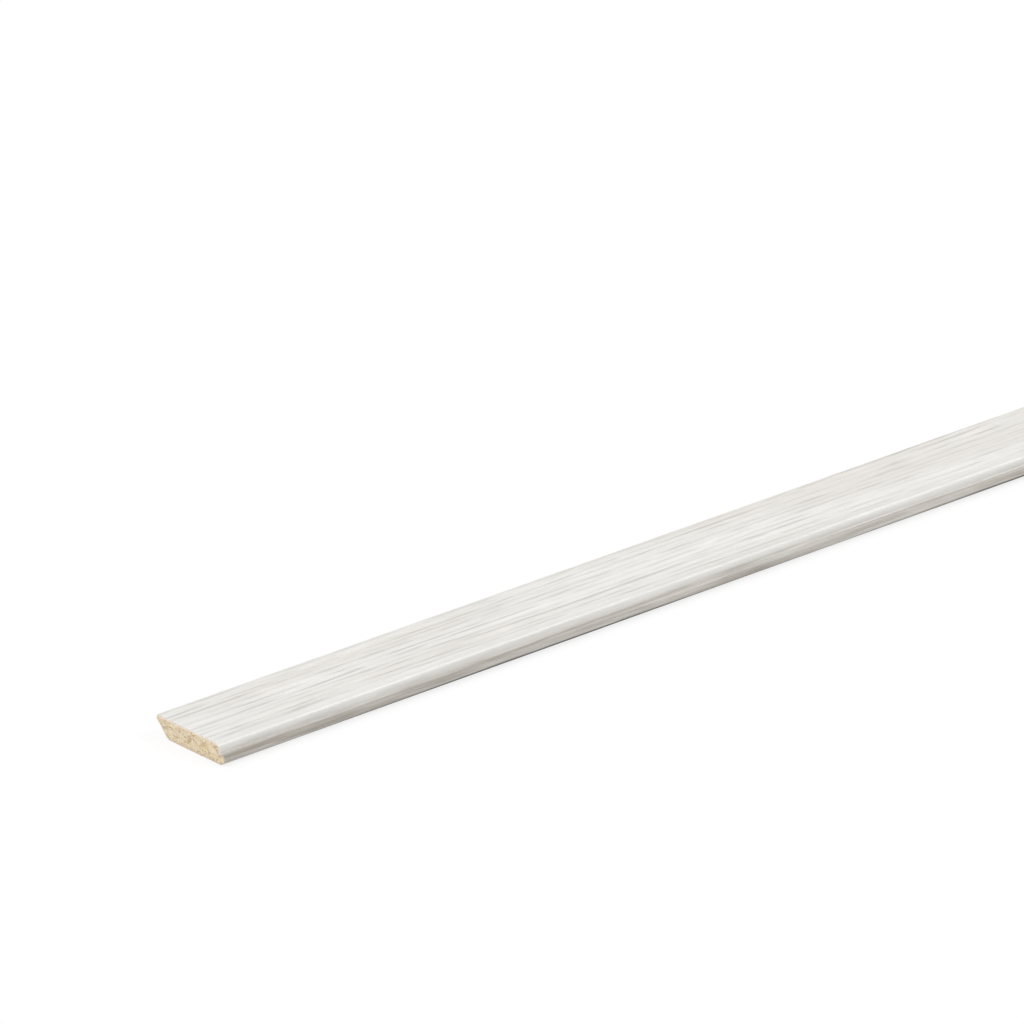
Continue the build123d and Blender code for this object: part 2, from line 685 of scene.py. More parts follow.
class Effects:
    """Shader groups that several finishes use, each built once."""

    SWAY_LENGTH = 48 * MM
    SWAY_WIDTH = 7 * MM
    SWAY_SEED = 0.37
    SAW_LEAN = 0.12
    SAW_RUN = 2.2 * MM

    def __init__(self) -> None:
        """Builds the groups."""
        self.streaks = self._streaks()
        self.saw_marks = self._saw_marks()
        self.specks = self._specks()

    def streak(self, g: Graph, place: tuple, streaks: Streaks) -> Socket:
        """Places one layer of streaks.

        Args:
            g: The material's nodes.
            place: Place along the strip, and across it or round its outline.
            streaks: Which streaks.

        Returns:
            The streaks, from 0 to 1.
        """
        values = {name.title(): value for name, value in vars(streaks).items()}
        node = g.group(self.streaks, Along=place[0], Across=place[1], **values)
        return node.outputs["Streak"]

    def speck(self, g: Graph, specks: Specks) -> Socket:
        """Places one scatter of specks, from 0 to 1."""
        values = {name.title(): value for name, value in vars(specks).items()}
        return g.group(self.specks, **values).outputs["Speck"]

    @staticmethod
    def _start(name: str, inputs: dict[str, float], outputs: list[str]) -> tuple[Graph, dict, dict]:
        """Starts a group.

        Args:
            name: The group's name.
            inputs: Its inputs and their usual values.
            outputs: Its outputs.

        Returns:
            Its nodes, its inputs as sockets and its outputs as sockets.
        """
        tree = bpy.data.node_groups.new(name, "ShaderNodeTree")
        for label, usual in inputs.items():
            socket = tree.interface.new_socket(name=label, in_out="INPUT", socket_type="NodeSocketFloat")
            socket.default_value = usual
        for label in outputs:
            tree.interface.new_socket(name=label, in_out="OUTPUT", socket_type="NodeSocketFloat")
        graph = Graph(tree)
        start = graph.add("NodeGroupInput")
        stop = graph.add("NodeGroupOutput")
        return graph, {s.name: s for s in start.outputs}, {s.name: s for s in stop.inputs}

    def _streaks(self) -> bpy.types.NodeTree:
        """Long soft streaks along the strip that all waver alike across it, from 0 to 1.

        Returns:
            The group.
        """
        inputs = {
            "Along": 0.0,
            "Across": 0.0,
            "Length": 40 * MM,
            "Width": 1 * MM,
            "Waver": 0.0,
            "Seed": 0.0,
            "Detail": 2.0,
        }
        g, into, out = self._start("lengthwise_streaks", inputs, ["Streak"])
        where = g.join(
            g.times(into["Along"], 1 / self.SWAY_LENGTH),
            g.times(into["Across"], 1 / self.SWAY_WIDTH),
            self.SWAY_SEED,
        )
        sway = g.less(g.noise(where, detail=1.0), 0.5)
        shifted = g.plus(into["Across"], g.times(sway, into["Waver"]))
        spot = g.join(
            g.maths("DIVIDE", into["Along"], into["Length"]),
            g.maths("DIVIDE", shifted, into["Width"]),
            into["Seed"],
        )
        g.feed(out["Streak"], g.noise(spot, into["Detail"]))
        return g.tree

    def _saw_marks(self) -> bpy.types.NodeTree:
        """Fine upright lines that a saw leaves on a cut end, and how much of a face is cut end.

        Returns:
            The group.
        """
        inputs = {"Pitch": 0.25 * MM, "Seed": 0.0}
        g, into, out = self._start("saw_marks", inputs, ["Height", "Cut End"])
        _, y, z = g.place()
        spot = g.join(
            g.maths("DIVIDE", g.plus(y, z, self.SAW_LEAN), into["Pitch"]),
            g.times(z, 1 / self.SAW_RUN),
            into["Seed"],
        )
        normal = g.split(g.add("ShaderNodeNewGeometry").outputs["True Normal"])
        g.feed(out["Height"], g.noise(spot, detail=3.0, roughness=0.6))
        g.feed(out["Cut End"], g.span(g.maths("ABSOLUTE", normal[0]), 0.4, 0.8))
        return g.tree

    def _specks(self) -> bpy.types.NodeTree:
        """Scattered specks on a piece: 1 in their middle, 0 between them.

        Returns:
            The group.
        """
        inputs = {"Spacing": 1.0 * MM, "Size": 0.3, "Share": 0.3, "Stretch": 1.0, "Seed": 0.0}
        g, into, out = self._start("specks", inputs, ["Speck"])
        x, y, z = g.place()
        long = g.times(into["Spacing"], into["Stretch"])
        spot = g.join(
            g.plus(g.maths("DIVIDE", x, long), into["Seed"]),
            g.maths("DIVIDE", y, long),
            g.maths("DIVIDE", z, into["Spacing"]),
        )
        cell = g.cells(spot)
        lucky = g.maths("LESS_THAN", g.split(cell.outputs["Color"])[0], into["Share"])
        near = g.maths("DIVIDE", cell.outputs["Distance"], into["Size"])
        g.feed(out["Speck"], g.times(g.span(near, 1.0, 0.5), lucky))
        return g.tree


def new_material(name: str) -> tuple[bpy.types.Material, Graph]:
    """Starts a material.

    Args:
        name: Its name.

    Returns:
        The material and its empty tree of nodes.
    """
    material = bpy.data.materials.new(name)
    material.use_nodes = True
    return material, Graph(material.node_tree)


@dataclass(frozen=True)
class Band:
    """A band along the strip: its place round the outline, half width, strength and even core."""

    place: float
    width: float
    strength: float
    core: float = 0.1 * MM


@dataclass(frozen=True)
class OakDecorFinish:
    """Satin foil printed with a whitewashed oak grain that runs along the strip."""

    effects: Effects
    moulding: Moulding
    cool: Colour = (0.790, 0.778, 0.750)
    warm: Colour = (0.740, 0.715, 0.674)
    grain_tint: Colour = (1.0, 0.995, 0.98)
    brown: Colour = (0.50, 0.465, 0.42)
    vein_brown: Colour = (0.57, 0.535, 0.485)
    lightness: float = 1.014
    line_depth: float = 0.245
    pale_lift: float = 0.115
    hair_depth: float = 0.045
    pore_depth: float = 0.03
    roughness: float = 0.30
    rough_swing: float = 0.04
    grain_depth: float = 0.02 * MM
    grain_shown: float = 0.35

    # The grain's layers
    zones: Streaks = Streaks(130.0 * MM, 8.5 * MM, 1.3)
    hairs: Streaks = Streaks(6.0 * MM, 0.3 * MM, 21.8, 1.0)
    pores: Streaks = Streaks(2.6 * MM, 0.11 * MM, 33.4, 1.0)
    dashes: Streaks = Streaks(9.0 * MM, 0.72 * MM, 8.4, 1.0)
    gather: Streaks = Streaks(110.0 * MM, 5.5 * MM, 40.9)
    between: Streaks = Streaks(40.0 * MM, 1.6 * MM, 5.1)
    lip_grain: Streaks = Streaks(30.0 * MM, 0.8 * MM, 51.0)
    lip_drift: Streaks = Streaks(90.0 * MM, 6.0 * MM, 57.0)
    ring_drift: Streaks = Streaks(170.0 * MM, 9.0 * MM, 61.0, 1.0)

    # Growth rings
    ring_pitch: float = 2.1 * MM
    ring_start: float = 0.8
    ring_sway: float = 1.8
    ring_shift: float = 1.6
    ring_gap: float = 5.37
    shift_length: float = 140.0 * MM
    shift_seed: float = 3.3
    fade_length: float = 13.0 * MM
    fade_seed: float = 14.2
    line_weight: float = 1.25
    pale_weight: float = 0.6
    dash_weight: float = 4.0

    # Bands along the nose edge, from the heel up. The heel line is a painted shadow where the heel nears the
    # floor, and the nose band is painted shade below the nose's highlight.
    heel_line: Band = Band(7.1 * MM, 1.05 * MM, 0.84, 0.6 * MM)
    lip_edge: Band = Band(8.95 * MM, 0.5 * MM, 0.11)
    vein: Band = Band(9.15 * MM, 0.85 * MM, 0.62)
    nose_band: Band = Band(11.85 * MM, 0.6 * MM, 0.055)
    calm: Band = Band(12.5 * MM, 1.7 * MM, 0.25, 0.68 * MM)
    heel_wave: float = 190.0 * MM
    heel_least: float = 0.1
    vein_wander: float = 2.4 * MM
    vein_wave: float = 450.0 * MM
    vein_slow: float = 1.5
    vein_least: float = 0.1

    # Brown staining on the ledge and the lip; over the ledge it is also painted shade of the quirk
    ledge_back: float = -10.2 * MM
    lip_fade: float = 0.15 * MM
    stain_end: float = 11.1 * MM
    stain_wander: float = 1.0 * MM
    stain_fade: float = 0.4 * MM

    def build(self) -> bpy.types.Material:
        """Makes the material.

        Returns:
            The material.
        """
        material, g = new_material("oak_decor_foil")
        x, y, _ = g.place()
        wrap = g.add("ShaderNodeAttribute", attribute_name=WRAP).outputs["Fac"]
        place = (x, wrap)
        figure = self._figure(g, place)
        dark = g.span(figure, 0.2, 1.8)
        hair = g.span(self.effects.streak(g, place, self.hairs), 0.54, 0.74)
        pore = g.span(self.effects.streak(g, place, self.pores), 0.58, 0.72)
        swing = self._swing(g, x, self.vein_wave, self.vein_slow)
        vein = self._vein(g, wrap, swing)
        edge = self._band(g, wrap, self.lip_edge)
        # Painted shade on the lower nose below its highlight, strongest at the near end
        nose = g.times(self._band(g, wrap, self.nose_band), g.less(1.0, swing))
        # Painted shadow: a dark line along the heel where it nears the floor
        heel = self._heel(g, place)

        zone = g.span(self.effects.streak(g, place, self.zones), 0.36, 0.64)
        colour = g.mix(zone, self.cool, self.warm)
        colour = g.mix(dark, colour, g.tinted(colour, self.grain_tint))
        # Brown staining in front of the nose; over the ledge it is also painted shade of the quirk
        colour = g.mix(self._stain(g, y, place, swing), colour, g.tinted(colour, self.brown))
        colour = g.mix(vein, colour, g.tinted(colour, self.vein_brown))
        tone = g.less(self.lightness, g.span(figure, 0.0, 2.4, 0.0, self.line_depth, soft=False))
        tone = g.plus(tone, g.span(figure, 0.0, -1.6, 0.0, self.pale_lift, soft=False))
        tone = g.less(tone, hair, self.hair_depth)
        tone = g.less(tone, pore, self.pore_depth)
        tone = g.less(tone, edge, self.lip_edge.strength)
        # Painted shade below the nose's highlight
        tone = g.less(tone, nose, self.nose_band.strength)
        # Painted shadow along the heel
        tone = g.less(tone, heel, self.heel_line.strength)
        colour = g.scale(colour, tone)

        smoother = self.roughness - self.rough_swing
        rougher = self.roughness + self.rough_swing
        rough = g.span(figure, -1.5, 1.5, smoother, rougher)
        rough = g.plus(rough, pore, 0.12)
        rough = g.plus(rough, g.maths("MAXIMUM", vein, edge), 0.25)
        rough = g.plus(rough, heel, 0.42)
        height = g.less(g.times(hair, -0.4), pore, 0.5)
        height = g.less(height, dark, 0.3)
        g.principled(colour, rough, g.bump(height, self.grain_depth, self.grain_shown))
        return material

    def _swing(self, g: Graph, along: Source, wave: float, slow: float) -> Socket:
        """A slow rise and fall along the strip, from its near end.

        Args:
            g: The material's nodes.
            along: Place along the strip.
            wave: How far apart two rises are.
            slow: How slowly the rise starts; 1 is a plain wave.

        Returns:
            0 at the near end, then 1 and 0 by turns.
        """
        turn = g.times(g.less(along, self.moulding.near), math.tau / wave)
        swing = g.less(0.5, g.maths("COSINE", turn), 0.5)
        return g.maths("POWER", swing, slow)

    @staticmethod
    def _band(g: Graph, wrap: Source, band: Band) -> Socket:
        """Where a band is: 1 in its core, 0 outside it."""
        return g.span(g.apart(wrap, band.place), band.width, band.core)

    def _heel(self, g: Graph, place: tuple) -> Socket:
        """Painted shadow: a dark line along the heel where it nears the floor, which comes and goes along
        the strip.

        Args:
            g: The material's nodes.
            place: Place along the strip and round its outline.

        Returns:
            The line, from 0 to 1.
        """
        swing = self._swing(g, place[0], self.heel_wave, 1.0)
        gathers = g.span(swing, 0.0, 1.0, self.heel_least, 1.0, soft=False)
        return g.times(self._band(g, place[1], self.heel_line), gathers)

    def _vein(self, g: Graph, wrap: Source, swing: Source) -> Socket:
        """The brown vein, which wanders from the lip up the nose and fades on its way.

        Args:
            g: The material's nodes.
            wrap: Place round the outline.
            swing: How far the vein has wandered, from 0 to 1.

        Returns:
            How much of the vein shows, from 0 to 1.
        """
        middle = g.plus(self.vein.place, swing, self.vein_wander)
        vein = g.span(g.apart(wrap, middle), self.vein.width, self.vein.core)
        left = g.span(swing, 0.0, 1.0, self.vein.strength, self.vein_least, soft=False)
        return g.times(vein, left)

    def _stain(self, g: Graph, y: Source, place: tuple, swing: Source) -> Socket:
        """The streaky brown staining in front of the nose, up to a line that follows the vein; over the
        ledge it is also painted shade of the quirk.

        Args:
            g: The material's nodes.
            y: Place across the strip.
            place: Place along the strip and round its outline.
            swing: How far the vein has wandered, from 0 to 1.

        Returns:
            How much of the brown staining and painted shade shows, from 0 to 1.
        """
        end = g.less(self.stain_end, swing, self.stain_wander)
        stain_and_shade = g.span(y, self.ledge_back, self.ledge_back - self.lip_fade)
        stain_and_shade = g.times(stain_and_shade, g.span(g.less(place[1], end), self.stain_fade, -self.stain_fade))
        stain_and_shade = g.times(stain_and_shade, g.span(self.effects.streak(g, place, self.lip_grain), 0.38, 0.6, 0.38, 0.76))
        return g.times(stain_and_shade, g.span(self.effects.streak(g, place, self.lip_drift), 0.38, 0.6, 0.7, 1.05))

    def _figure(self, g: Graph, place: tuple) -> Socket:
        """The grain's lines: growth rings a little over two millimetres apart, broken into dashes.

        Args:
            g: The material's nodes.
            place: Place along the strip and round its outline.

        Returns:
            How dark the grain is, about 0 on average, from about -2 to 2.
        """
        along, wrap = place
        drift = self.effects.streak(g, place, self.ring_drift)
        turns = g.plus(g.maths("DIVIDE", wrap, self.ring_pitch), drift, self.ring_sway)
        turns = g.plus(turns, self.ring_start)
        ring = g.maths("FLOOR", turns)
        wander = g.less(self._on_ring(g, along, ring, self.shift_length, self.shift_seed), 0.5)
        shift = g.times(wander, self.ring_shift)
        within = g.less(g.less(turns, ring), 0.5)
        aside = g.apart(within, shift)
        fading = self._on_ring(g, along, ring, self.fade_length, self.fade_seed)
        line = g.times(g.span(aside, 0.26, 0.02), g.span(fading, 0.3, 0.72, 0.1, 1.6))
        between = g.span(self.effects.streak(g, place, self.between), 0.3, 0.7, 0.2, 1.5)
        pale = g.times(g.span(aside, 0.15, 0.5), between)
        dashes = g.less(self.effects.streak(g, place, self.dashes), 0.5)
        gather = g.span(self.effects.streak(g, place, self.gather), 0.36, 0.64, 0.65, 1.3)
        figure = g.less(g.times(line, self.line_weight), pale, self.pale_weight)
        figure = g.plus(figure, dashes, self.dash_weight)
        figure = g.times(figure, gather)
        calm = self.calm
        return g.times(figure, g.span(g.apart(wrap, calm.place), calm.core, calm.width, calm.strength, 1.0))

    def _on_ring(self, g: Graph, along: Source, ring: Source, length: float, seed: float) -> Socket:
        """How one property changes along each growth ring, apart from the other rings.

        Args:
            g: The material's nodes.
            along: Place along the strip.
            ring: The ring's number.
            length: How far apart its changes are.
            seed: A number that sets this property apart from others.

        Returns:
            The property, from 0 to 1.
        """
        spot = g.join(g.times(along, 1 / length), g.times(ring, self.ring_gap), seed)
        return g.noise(spot, detail=1.0)


@dataclass(frozen=True)
class FoilCutFinish:
    """Cut edge and glued side of the foil: cream paper with fine fibres, browner at the lip, and brown along
    the strip's bottom edge as painted shade.
    """

    effects: Effects
    pale: Colour = (0.82, 0.77, 0.69)
    dull: Colour = (0.71, 0.64, 0.54)
    # Brown of the cut edge at the lip, also used as painted shade along the bottom edge
    lip: Colour = (0.50, 0.42, 0.31)
    lip_back: float = -10.1 * MM
    lip_fade: float = 0.5 * MM
    lip_share: float = 0.8
    foot: float = 0.45 * MM
    foot_fade: float = 0.1 * MM
    fibre_length: float = 0.9 * MM
    fibre_width: float = 0.25 * MM
    saw_pitch: float = 0.2 * MM
    relief: float = 0.03 * MM
    roughness: float = 0.62

    def build(self) -> bpy.types.Material:
        """Makes the material.

        Returns:
            The material.
        """
        material, g = new_material("foil_cut_edge")
        x, y, z = g.place()
        spot = g.join(
            g.times(x, 1 / self.fibre_length),
            g.times(y, 1 / self.fibre_width),
            g.times(z, 1 / self.fibre_width),
        )
        fibres = g.noise(spot, detail=4.0)
        saw = g.group(self.effects.saw_marks, Pitch=self.saw_pitch, Seed=3.0)
        at_lip = g.span(y, self.lip_back, self.lip_back - self.lip_fade, 0.0, self.lip_share)
        # Painted shade: the cut foil turns brown along the strip's bottom edge
        below = g.span(z, self.foot, self.foot - self.foot_fade, 0.0, self.lip_share)
        colour = g.mix(g.span(fibres, 0.35, 0.65), self.pale, self.dull)
        colour = g.mix(at_lip, colour, self.lip)
        colour = g.mix(below, colour, self.lip)
        rough = g.span(fibres, 0.3, 0.7, self.roughness - 0.06, self.roughness + 0.06)
        height = g.plus(g.times(saw.outputs["Height"], saw.outputs["Cut End"]), fibres, 0.4)
        g.principled(colour, rough, g.bump(height, self.relief, 0.5))
        return material


@dataclass(frozen=True)
class ChipboardFinish:
    """Bare chipboard: flat pale chips, fines towards its faces, brown specks and dark pits."""

    effects: Effects
    moulding: Moulding
    cream: Colour = (0.80, 0.715, 0.555)
    straw: Colour = (0.69, 0.585, 0.36)
    pink: Colour = (0.70, 0.55, 0.43)
    tan: Colour = (0.47, 0.355, 0.21)
    bark: Colour = (0.17, 0.10, 0.05)
    flour: Colour = (0.855, 0.785, 0.715)
    yellowish: Colour = (0.985, 0.99, 0.94)
    pinkish: Colour = (1.0, 0.965, 1.0)
    roughness: float = 0.78
    specular: float = 0.3
    flour_depth: float = 0.75 * MM
    flour_share: float = 0.85
    coarse_chip: Point = (1.15 * MM, 0.62 * MM)
    fine_chip: Point = (0.46 * MM, 0.34 * MM)
    fray_size: float = 0.6 * MM
    fray_reach: float = 0.9
    patch_size: float = 1.9 * MM
    bark_specks: Specks = Specks(1.3 * MM, 0.26, 0.13, 1.2, 4.0)
    dust: Specks = Specks(0.5 * MM, 0.5, 0.16, 1.4, 9.0)
    saw_pitch: float = 0.3 * MM
    relief: float = 0.12 * MM

    def build(self) -> bpy.types.Material:
        """Makes the material.

        Returns:
            The material.
        """
        material, g = new_material("chipboard")
        m = self.moulding
        place = g.place()
        z = place[2]
        frayed = g.clouds(place, self.fray_size, 3.0)
        fray = g.times(g.less(frayed, 0.5), self.fray_reach)
        coarse, coarse_edge = self._chips(g, place, fray, self.coarse_chip)
        fine, fine_edge = self._chips(g, place, fray, self.fine_chip)
        depth = g.apart(z, (m.back + m.face) / 2)
        outer = g.span(g.plus(depth, fray, 0.5 * MM), 1.2 * MM, 2.0 * MM)
        pick = g.plus(coarse, g.times(g.less(fine, coarse), g.plus(0.38, outer, 0.3)))
        colour = g.ramp(
            g.span(pick, 0.18, 0.82, soft=False),
            [(0.0, self.tan), (0.28, self.pink), (0.5, self.straw), (0.75, self.cream), (1.0, self.cream)],
        )
        uneven = g.plus(z, fray, 0.4 * MM)
        floury = g.span(uneven, m.face - self.flour_depth, m.face, 0.0, self.flour_share)
        colour = g.mix(floury, colour, self.flour)
        patches = g.span(g.clouds(place, self.patch_size, 1.0), 0.36, 0.64)
        colour = g.tinted(colour, g.mix(patches, self.yellowish, self.pinkish))
        gap = g.times(g.span(coarse_edge, 0.12, 0.0), 0.38)
        gap = g.maths("MAXIMUM", gap, g.times(g.span(fine_edge, 0.1, 0.0), 0.25))
        colour = g.mix(gap, colour, self.tan)
        dusty = g.times(self.effects.speck(g, self.dust), g.span(frayed, 0.35, 0.65, 0.1, 0.5))
        dark = g.maths("MAXIMUM", g.times(self.effects.speck(g, self.bark_specks), 0.75), dusty)
        colour = g.mix(dark, colour, self.bark)
        saw = g.group(self.effects.saw_marks, Pitch=self.saw_pitch, Seed=1.0)
        height = g.less(g.times(frayed, 0.6), gap, 0.8)
        height = g.less(height, dark)
        height = g.plus(height, saw.outputs["Height"], 0.25)
        rough = g.span(frayed, 0.3, 0.7, self.roughness - 0.08, self.roughness + 0.08)
        g.principled(colour, rough, g.bump(height, self.relief, 0.5), Specular_IOR_Level=self.specular)
        return material

    @staticmethod
    def _chips(g: Graph, place: tuple, fray: Source, size: Point) -> tuple[Socket, Socket]:
        """Flat chips with frayed edges.

        Args:
            g: The material's nodes.
            place: X, Y and Z on the piece.
            fray: How far each place is moved, in chips.
            size: Length and thickness of a chip.

        Returns:
            A random value for each chip, and the way to its edge.
        """
        long, thick = size
        spot = g.join(*(g.plus(g.times(v, 1 / s), fray) for v, s in zip(place, (long, long, thick))))
        tone = g.split(g.cells(spot).outputs["Color"])[0]
        return tone, g.cells(spot, "DISTANCE_TO_EDGE").outputs["Distance"]


@dataclass(frozen=True)
class TapeFinish:
    """Cloudy adhesive film with small bubbles; its cut ends are darkened brown as painted shade along the
    strip's bottom edge.
    """

    effects: Effects
    clear: Colour = (0.80, 0.77, 0.68)
    cloudy: Colour = (0.85, 0.83, 0.77)
    # Brown of the cut ends: painted shade along the strip's bottom edge
    dusty: Colour = (0.50, 0.41, 0.29)
    dust_share: float = 0.75
    clouds: Streaks = Streaks(9.0 * MM, 2.5 * MM, 2.0, waver=2.0 * MM)
    bubbles: Specks = Specks(0.8 * MM, 0.3, 0.35, 1.0, 6.0)
    saw_pitch: float = 0.4 * MM
    relief: float = 0.04 * MM
    roughness: float = 0.34

    def build(self) -> bpy.types.Material:
        """Makes the material.

        Returns:
            The material.
        """
        material, g = new_material("adhesive_film")
        clouds = self.effects.streak(g, g.place(), self.clouds)
        bubbles = self.effects.speck(g, self.bubbles)
        saw = g.group(self.effects.saw_marks, Pitch=self.saw_pitch, Seed=5.0)
        colour = g.mix(g.maths("MAXIMUM", g.span(clouds, 0.35, 0.65), bubbles), self.clear, self.cloudy)
        # Painted shade: the cut ends are darkened brown along the strip's bottom edge
        colour = g.mix(g.times(saw.outputs["Cut End"], self.dust_share), colour, self.dusty)
        rough = g.span(clouds, 0.3, 0.7, self.roughness, self.roughness + 0.14)
        height = g.plus(g.times(saw.outputs["Height"], saw.outputs["Cut End"]), bubbles, 0.6)
        g.principled(colour, rough, g.bump(height, self.relief, 0.6))
        return material


@dataclass(frozen=True)
class LinerFinish:
    """Smooth siliconised paper with a cloudy sheet and faint calender lines."""

    effects: Effects
    pale: Colour = (0.83, 0.80, 0.72)
    deep: Colour = (0.76, 0.71, 0.60)
    flock_size: float = 2.6 * MM
    lines: Streaks = Streaks(60.0 * MM, 0.35 * MM, 8.0, waver=0.2 * MM)
    fibres: Specks = Specks(1.6 * MM, 0.16, 0.25, 1.6, 11.0)
    fibre_share: float = 0.35
    saw_pitch: float = 0.3 * MM
    relief: float = 0.02 * MM
    roughness: float = 0.42

    def build(self) -> bpy.types.Material:
        """Makes the material.

        Returns:
            The material.
        """
        material, g = new_material("liner_paper")
        place = g.place()
        flocks = g.clouds(place, self.flock_size, 5.0, 0.6)
        lines = self.effects.streak(g, place, self.lines)
        fibres = self.effects.speck(g, self.fibres)
        saw = g.group(self.effects.saw_marks, Pitch=self.saw_pitch, Seed=7.0)
        colour = g.mix(g.span(flocks, 0.35, 0.68), self.pale, self.deep)
        colour = g.mix(g.times(fibres, self.fibre_share), colour, self.deep)
        colour = g.scale(colour, g.span(lines, 0.3, 0.7, 0.97, 1.02))
        rough = g.span(flocks, 0.3, 0.7, self.roughness - 0.05, self.roughness + 0.07)
        height = g.plus(g.times(lines, 0.6), flocks, 0.4)
        height = g.plus(height, g.times(saw.outputs["Height"], saw.outputs["Cut End"]))
        g.principled(colour, rough, g.bump(height, self.relief, 0.5))
        return material


def milled_section(m: Moulding, name: str, arc_steps: int) -> Workpiece:
    """The core's section at the near end: a plate with its undercut, lip, ledge and rounded corners.

    Args:
        m: The strip's sizes.
        name: The piece's name.
        arc_steps: Flats in a rounded corner.

    Returns:
        The plate, open for editing.
    """
    plate = Workpiece(name, (m.lip_front, m.back), (m.land_front, m.face), m.near)
    plate.pick_all()
    plate.cut((0.0, m.back_edge, m.back), (0.0, 1.0, -1.0), clear=True)
    plate.pick_all()
    plate.cut((0.0, m.nose_wall, m.face), (0.0, 1.0, 0.0))
    plate.pick_faces(lambda middle, _: middle.y < m.nose_wall)
    plate.cut((0.0, m.nose_wall, m.ledge_back), (0.0, -m.ledge_rise, m.lip_projection))
    plate.pick_faces(lambda middle, _: middle.y < m.nose_wall and middle.z > m.ledge_back)
    bpy.ops.mesh.delete(type="FACE")
    touch = Workpiece.TOUCH
    plate.pick_edges(
        lambda a, b: max(abs(a.y - m.nose_wall), abs(b.y - m.nose_wall)) < touch
        and max(a.z, b.z) < m.ledge_back + touch
    )
    bpy.ops.mesh.dissolve_edges(use_verts=False)
    plate.pick_corner((m.nose_wall, m.back))
    bpy.ops.mesh.dissolve_verts()
    plate.round_corner((m.lip_front, m.back), m.heel_radius, arc_steps)
    plate.round_corner((m.lip_front, m.ledge_front), m.lip_edge_radius, arc_steps)
    plate.round_corner((m.nose_wall, m.ledge_back), m.quirk_radius, arc_steps)
    plate.round_corner((m.nose_wall, m.face), m.nose_radius, 2 * arc_steps)
    plate.round_corner((m.land_front, m.face), m.arris_radius, arc_steps)
    plate.round_corner((m.land_front, m.land_foot), m.foot_radius, arc_steps // 2)
    return plate


def report(piece: bpy.types.Object) -> None:
    """Logs a finished piece's name, size in millimetres and number of triangles.

    Args:
        piece: The piece.
    """
    size = " x ".join(f"{edge / MM:.2f}" for edge in piece.dimensions)
    piece.data.calc_loop_triangles()
    log.info("%s: %s mm, %d triangles", piece.name, size, len(piece.data.loop_triangles))


def settle(piece: bpy.types.Object, node: str) -> None:
    """Puts a finished piece in the frame.

    Args:
        piece: The piece.
        node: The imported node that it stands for.
    """
    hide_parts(node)
    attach(piece, BODY)
    report(piece)


@dataclass
class ChipboardCore:
    """The milled chipboard strip. Its cut ends are rough, with chips torn out of them."""

    moulding: Moulding
    arc_steps: int = 6
    end_grid: float = 0.3 * MM
    pit_depth: float = 0.16 * MM
    pit_size: float = 0.9 * MM
    pit_detail: int = 2
    pit_contrast: float = 1.6
    sheet: BakeSheet = field(init=False)

    def build(self) -> bpy.types.Object:
        """Models the core.

        Returns:
            The finished object.
        """
        m = self.moulding
        work = milled_section(m, "skirting_core", self.arc_steps)
        self.sheet = BakeSheet(m, work.mark_wrap((m.foil_end, m.back)))
        work.pick_all()
        work.pull(m.length)
        work.face_outwards()
        work.cut_across(self.sheet.stations())
        for end in End:
            self._roughen(work, end)
        piece = work.finish()
        self.sheet.lay(piece, lambda _, normal: normal.z < -BACK_FACING)
        return piece

    def _roughen(self, work: Workpiece, end: End) -> None:
        """Cuts a grid into a cut end and sinks torn-out chips into it.

        Args:
            work: The core, open for editing.
            end: Which end.
        """
        m = self.moulding
        station = end.value * m.length / 2
        grid = (
            (m.lip_front, m.land_front, (0.0, 1.0, 0.0)),
            (m.back, m.face, (0.0, 0.0, 1.0)),
        )
        for low, high, facing in grid:
            count = int((high - low) / self.end_grid)
            for i in range(1, count):
                level = low + (high - low) * i / count
                work.pick_faces(lambda middle, _: abs(middle.x - station) < Workpiece.TOUCH)
                work.cut((station, level * facing[1], level * facing[2]), facing)
        bpy.ops.object.mode_set(mode="OBJECT")
        mesh = work.obj.data
        rim = {v for e in mesh.edges for v in e.vertices if self._on_rim(mesh, e, station)}
        on_end = [v.index for v in mesh.vertices if abs(v.co.x - station) < Workpiece.TOUCH]
        pits = bpy.data.textures.new("torn_chips", "CLOUDS")
        pits.noise_scale = self.pit_size
        pits.noise_depth = self.pit_detail
        pits.contrast = self.pit_contrast
        pits.use_clamp = True
        work.displace([i for i in on_end if i not in rim], pits, "X", -end.value * self.pit_depth)
        bpy.ops.object.mode_set(mode="EDIT")

    @staticmethod
    def _on_rim(mesh: bpy.types.Mesh, edge: bpy.types.MeshEdge, station: float) -> bool:
        """Whether an edge runs lengthwise off a cut end."""
        a, b = (mesh.vertices[i].co.x for i in edge.vertices)
        return (abs(a - station) < Workpiece.TOUCH) != (abs(b - station) < Workpiece.TOUCH)

    def dress(self, piece: bpy.types.Object, finish: ChipboardFinish) -> None:
        """Gives the core its finish."""
        piece.data.materials.append(finish.build())


